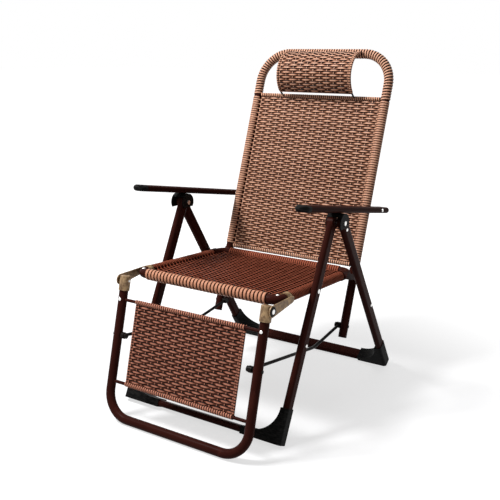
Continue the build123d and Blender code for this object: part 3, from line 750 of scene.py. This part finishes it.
foot_strands = weave(FOOT, ROW_PITCH, BACK_MARGIN)
for run in (0, FOOT.length):
    coil_bar(foot_strands, FOOT, run, FOOT.half + EDGE_R, ROD_R, ROD_COIL, ROD_STRAND)
for edge in (-FOOT.half, FOOT.half):
    ends = np.array([(edge, *FOOT.at(run)[0]) for run in (0, FOOT.length)])
    facing = np.tile((0, *FOOT.at(0)[2]), (2, 1))
    foot_strands.lay(ends, facing, np.tile((1.0, 0, 0), (2, 1)), 2 * EDGE_R, 0.0, 2 * EDGE_R)
hang(foot_strands, "footrest_panel", "footrest_weave", "footrest", SHADED_FOOT_STRAND)
print("seat sides wrapped from", SEAT_WRAP[0].round(4), "to", SEAT_WRAP[1].round(4))

# %% [markdown]
# The headrest's rows wind round the two wires, and its field stops short of the upper rod, so the
# wires show below it. A stout strand along the lower edge closes the last row.

# %% Headrest
HEAD_BARE = 0.12
HEM_WIDTH = ROW_PITCH * 0.7
HEAD_LOW = HEAD.length * HEAD_BARE
HEAD_FIELD = Bow(
    HEAD.centre,
    HEAD.radius,
    HEAD.first + HEAD.sweep * HEAD_LOW / HEAD.length,
    HEAD.first + HEAD.sweep,
    HEAD.half,
    WIRE_R,
)
head_strands = weave(HEAD_FIELD, ROW_PITCH, STRAND_T)
hem_point, hem_up, hem_out = HEAD_FIELD.at(0)
hem = np.array([(-HEAD.half, *hem_point), (HEAD.half, *hem_point)])
hem_faces = np.tile((0, *hem_out), (2, 1))
hem_wide = np.tile((0, *hem_up), (2, 1))
head_strands.lay(hem, hem_faces, hem_wide, HEM_WIDTH, 0.0, 2 * STRAND_T)
hang(head_strands, "headrest_panel", "headrest_weave", "back", STRAND)

# %% [markdown]
# ## The wrapped top of the back
# Above the panel the tube is wound with one strand from side to side, round both bends. Its route
# is two straight legs, two quarter circles and the top run. It starts at the last row, so that no
# bare tube shows between them.

# %% Wrapped top tube
WRAP_PITCH = 0.0095
WRAP_STRAND = WRAP_PITCH * 0.82
BACK_BEND = 0.105
BEND_STEPS = 24
tube_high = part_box("back_frame")[1]


def top_route():
    """Axis of the bent top tube, with the in-plane direction square to it at each point."""
    top = (tube_high.z - TUBE_R - BACK.low[1]) / BACK.up[1]
    start = BACK.length - BACK_MARGIN + WRAP_PITCH / 2
    corner = BACK.half - BACK_BEND
    angles = np.linspace(0, pi / 2, BEND_STEPS)
    rise = top - BACK_BEND + BACK_BEND * np.sin(angles)
    bend = np.column_stack([corner + BACK_BEND * np.cos(angles), rise])
    half = np.concatenate([[(BACK.half, start)], bend])
    flat = np.concatenate([half, half[::-1] * (-1, 1)])
    return flat, turn(directions(flat))


flat, inward = top_route()
_, up, out = BACK.at(0)
centres = np.column_stack([flat[:, 0], BACK.low + flat[:, 1:] * up])
sideways = np.column_stack([inward[:, 0], inward[:, 1:] * up])
outward = np.tile((0, *out), (len(flat), 1))
wrap_strands = Strands()
coil(wrap_strands, centres, sideways, outward, TUBE_R, WRAP_PITCH, WRAP_STRAND)
hang(wrap_strands, "top_wrap", "back_wrap", "back", STRAND)

# %% [markdown]
# ## Rivets and washers
# A rivet is a low dome with a flat rim, and a washer is a flat ring with a bevelled edge. Both are
# turned pieces, so one helper sweeps a profile of (radius, height) pairs round an axis. Each piece
# sits on the face of the tube or plate that it holds and looks outward.

# %% Turned pieces
TURN_SIDES = 24


def turned(name, profile, closed, at, facing, finish, body):
    """A turned piece on a face, looking along its facing and moving with its body."""
    around = np.linspace(0, 2 * pi, TURN_SIDES, endpoint=False)
    rings = len(profile)
    points = [(r * np.cos(a), r * np.sin(a), h) for r, h in profile for a in around]
    faces = []
    for ring in range(rings if closed else rings - 1):
        here = ring * TURN_SIDES
        there = (ring + 1) % rings * TURN_SIDES
        for k in range(TURN_SIDES):
            after = (k + 1) % TURN_SIDES
            faces.append((here + k, there + k, there + after, here + after))
    if not closed:
        faces.append(tuple(range(TURN_SIDES)))
        faces.append(tuple(reversed(range((rings - 1) * TURN_SIDES, rings * TURN_SIDES))))
    mesh = bpy.data.meshes.new(name)
    mesh.from_pydata(points, [], faces)
    mesh.shade_smooth()
    mesh.materials.append(finish)
    stand = Vector(facing).to_track_quat("Z", "Y").to_matrix().to_4x4()
    stand.translation = Vector(at)
    mesh.transform(stand)
    made = bpy.data.objects.new(name, mesh)
    bpy.context.scene.collection.objects.link(made)
    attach(made, body)


RIVET_SHAPE = ((0.15, 1.0), (0.45, 0.92), (0.75, 0.66), (0.95, 0.3), (1.0, 0.1), (1.0, -0.5))
RIVET_R = 0.0052
RIVET_H = 0.0024


def rivet(name, at, facing, body):
    """A domed rivet head of bright steel."""
    profile = [(RIVET_R * out, RIVET_H * up) for out, up in RIVET_SHAPE]
    turned(name, profile, False, at, facing, BRIGHT_PIN, body)


print("turned pieces ready")

# %% [markdown]
# The footrest's rod is riveted through the front of each tube, and the seat's front corners carry a
# rivet on top. The legs have more on their flat outer sides: the points of such a side give its
# middle line, and a rivet is set by how far it lies below the leg pin and beside that line.

# %% Rivets on the tubes
SIDES = {"left": 1, "right": -1}
SEAT_BEND = 0.03
foot_point, _, foot_out = FOOT.at(FOOT.length)
foot_tube_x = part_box("footrest_rod_upper")[1].x
bend_in = SEAT_BEND * (1 - np.sqrt(0.5))
seat_point, _, seat_out = SEAT.at(bend_in)
for side, sign in SIDES.items():
    on_tube = foot_point + TUBE_R * foot_out
    rivet(f"footrest_rivet_{side}", (sign * foot_tube_x, *on_tube), (0, *foot_out), "footrest")
    on_bend = seat_point + TUBE_R * seat_out
    rivet(f"seat_rivet_{side}", (sign * (SEAT.half - bend_in), *on_bend), (0, *seat_out), "base")
print("tube rivets on")


# %% Rivets on the legs
FLAT_SLACK = 1e-4


def leg_line(node):
    """A leg's flat outer side: its place across, its middle and its downward direction."""
    points = np.array([vertex.co for vertex in NODES[node].data.vertices])
    outside = points[:, 0].max()
    flat = points[points[:, 0] > outside - FLAT_SLACK][:, 1:]
    centre = (flat.min(axis=0) + flat.max(axis=0)) / 2
    down = np.linalg.svd(flat - flat.mean(axis=0))[2][0]
    return outside, centre, down * -np.sign(down[1])


LEG_RIVETS = {
    "rear_rivet_upper": ("rear_leg_frame", "rear_legs", 0.034, 0.0),
    "rear_rivet_lower": ("rear_leg_frame", "rear_legs", 0.403, 0.007),
    "front_rivet_lower": ("front_leg_frame", "base", 0.381, 0.006),
}
leg_pin = middle("leg_pin_left")
for name, (node, body, below, beside) in LEG_RIVETS.items():
    outside, centre, down = leg_line(node)
    aside = np.array([-down[1], down[0]])
    foot_of_pin = centre + ((leg_pin - centre) @ down) * down
    place_on_leg = foot_of_pin + below * down + beside * aside
    for side, sign in SIDES.items():
        rivet(f"{name}_{side}", (sign * outside, *place_on_leg), (sign, 0, 0), body)
    lean = np.degrees(atan2(down[0], -down[1])).round(2)
    print(name, "at", place_on_leg.round(4), "leg leans", lean)

# %% [markdown]
# The footrest's hinge plate is dark round its bright pin: a black washer lies under the pin's head.

# %% Washers
WASHER_R = 0.0145
WASHER_T = 0.0014
WASHER_PLAY = 0.0002
for side, sign in SIDES.items():
    pin_low, pin_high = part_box(f"footrest_pin_{side}")
    plate_low, plate_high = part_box(f"seat_front_hinge_{side}")
    plate_face = plate_high.x if sign > 0 else plate_low.x
    hole = (pin_high.z - pin_low.z) / 2 + WASHER_PLAY
    profile = [
        (hole, WASHER_T),
        (WASHER_R - WASHER_T / 2, WASHER_T),
        (WASHER_R, WASHER_T / 2),
        (WASHER_R, 0.0),
        (hole, 0.0),
    ]
    at = (plate_face, *middle(f"footrest_pin_{side}"))
    turned(f"hinge_washer_{side}", profile, True, at, (sign, 0, 0), BLACK_ROD, "base")
    print("washer on", side, "at", round(plate_face, 4), "round a pin of", round(hole, 4))

# %% [markdown]
# ## Floor, light and background
# The background is white to the camera and to reflections, and grey to everything else, so it
# doesn't flood the chair. The floor is pale and keeps the chair's shadow. It adds some white of its
# own in the same way, a little near the chair and more further out, so it runs into the background
# without a line.

# %% Floor
FLOOR_SIZE = 30
floor_mesh = bpy.data.meshes.new("floor")
corners = [(x * FLOOR_SIZE, y * FLOOR_SIZE, 0) for x, y in ((-1, -1), (1, -1), (1, 1), (-1, 1))]
floor_mesh.from_pydata(corners, [], [(0, 1, 2, 3)])
floor = bpy.data.objects.new("floor", floor_mesh)
bpy.context.scene.collection.objects.link(floor)


def seen(tree):
    """1 for camera, glossy and transmission rays, 0 for the rest."""
    rays = tree.nodes.new("ShaderNodeLightPath")
    camera_ray = Value(tree, rays.outputs["Is Camera Ray"])
    glossy_ray = Value(tree, rays.outputs["Is Glossy Ray"])
    passing_ray = Value(tree, rays.outputs["Is Transmission Ray"])
    either = camera_ray.math("MAXIMUM", camera_ray, glossy_ray)
    return camera_ray.math("MAXIMUM", either, passing_ray)


NEAR_GLOW = 0.67
GLOW_FROM = 0.5
GLOW_TO = 1.4
FLOOR_DARK = (0.42, 0.42, 0.43, 1)
FLOOR_LIGHT = (0.45, 0.45, 0.455, 1)
BLACK = (0, 0, 0, 1)
WHITE = (1, 1, 1, 1)
floor_finish = Finish("floor")
cloud = grain(floor_finish, 3.0)
pale = blend_colours(floor_finish, cloud, FLOOR_DARK, FLOOR_LIGHT)
away = floor_finish.node("VectorMath", {"operation": "LENGTH"}, {0: place(floor_finish)}, output=1)
glow = NEAR_GLOW + (1 - NEAR_GLOW) * between(floor_finish, away, GLOW_FROM, GLOW_TO)
white = blend_colours(floor_finish, glow * seen(floor_finish.tree), BLACK, WHITE)
floor_finish.set(Base_Color=pale, Roughness=0.9, Specular_IOR_Level=0.0)
floor_finish.set(Emission_Color=white, Emission_Strength=1.0)
floor_mesh.materials.append(floor_finish.material)
print("floor laid")

# %% World and lamps
WORLD_FILL = 0.13
world = bpy.data.worlds.new("studio")
bpy.context.scene.world = world
world.use_nodes = True
background = world.node_tree.nodes["Background"]
background.inputs["Color"].default_value = WHITE
strength = WORLD_FILL + (1 - WORLD_FILL) * seen(world.node_tree)
put(world.node_tree, background.inputs["Strength"], strength)


def lamp(name, at, target, size, power):
    """A square soft box that looks at a point."""
    light = bpy.data.lights.new(name, "AREA")
    light.size = size
    light.energy = power
    made = bpy.data.objects.new(name, light)
    made.location = at
    made.rotation_euler = (Vector(target) - Vector(at)).to_track_quat("-Z", "Y").to_euler()
    bpy.context.scene.collection.objects.link(made)


lamp("key", (-1.5, -1.6, 3.4), (0, 0.1, 0.6), 0.8, 142)
lamp("top", (-0.3, 0.7, 3.3), (0, 0, 0.4), 1.6, 22)
lamp("side", (2.8, -1.6, 1.5), (0, 0, 0.6), 1.4, 6)
bpy.context.scene.view_settings.view_transform = "Standard"
print("lit")
